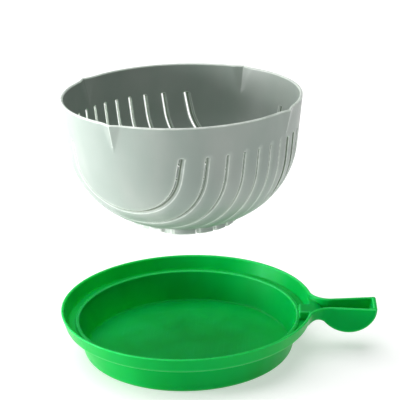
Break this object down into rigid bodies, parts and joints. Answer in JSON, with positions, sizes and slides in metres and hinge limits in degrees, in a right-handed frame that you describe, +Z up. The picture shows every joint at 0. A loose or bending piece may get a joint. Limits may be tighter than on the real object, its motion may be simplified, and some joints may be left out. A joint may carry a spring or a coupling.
{
  "type": "salad cutter bowl",
  "caption": "Slotted bowl for rinsing, draining and cutting salad, held above a round base tray that has a channelled rim and a hollow finger-notched handle.",
  "frame": {"origin": "middle of the base tray's resting face, on the tray's axis", "axes": "+Z up along the common axis of tray and bowl, +X along the tray's handle"},
  "size_m": [0.2769, 0.222, 0.2305],
  "materials": {
    "green_plastic": "semi-gloss moulded polypropylene, saturated green",
    "white_plastic": "satin moulded polypropylene, slightly translucent cool white"
  },
  "bodies": {
    "tray": {"base_tray": "green_plastic"},
    "bowl": {"slotted_bowl": "white_plastic"}
  },
  "joints": [
    {"name": "bowl_lift", "type": "slide", "parent": "tray", "child": "bowl", "axis": [0, 0, 1], "range_m": [-0.1193, 0]}
  ]
}
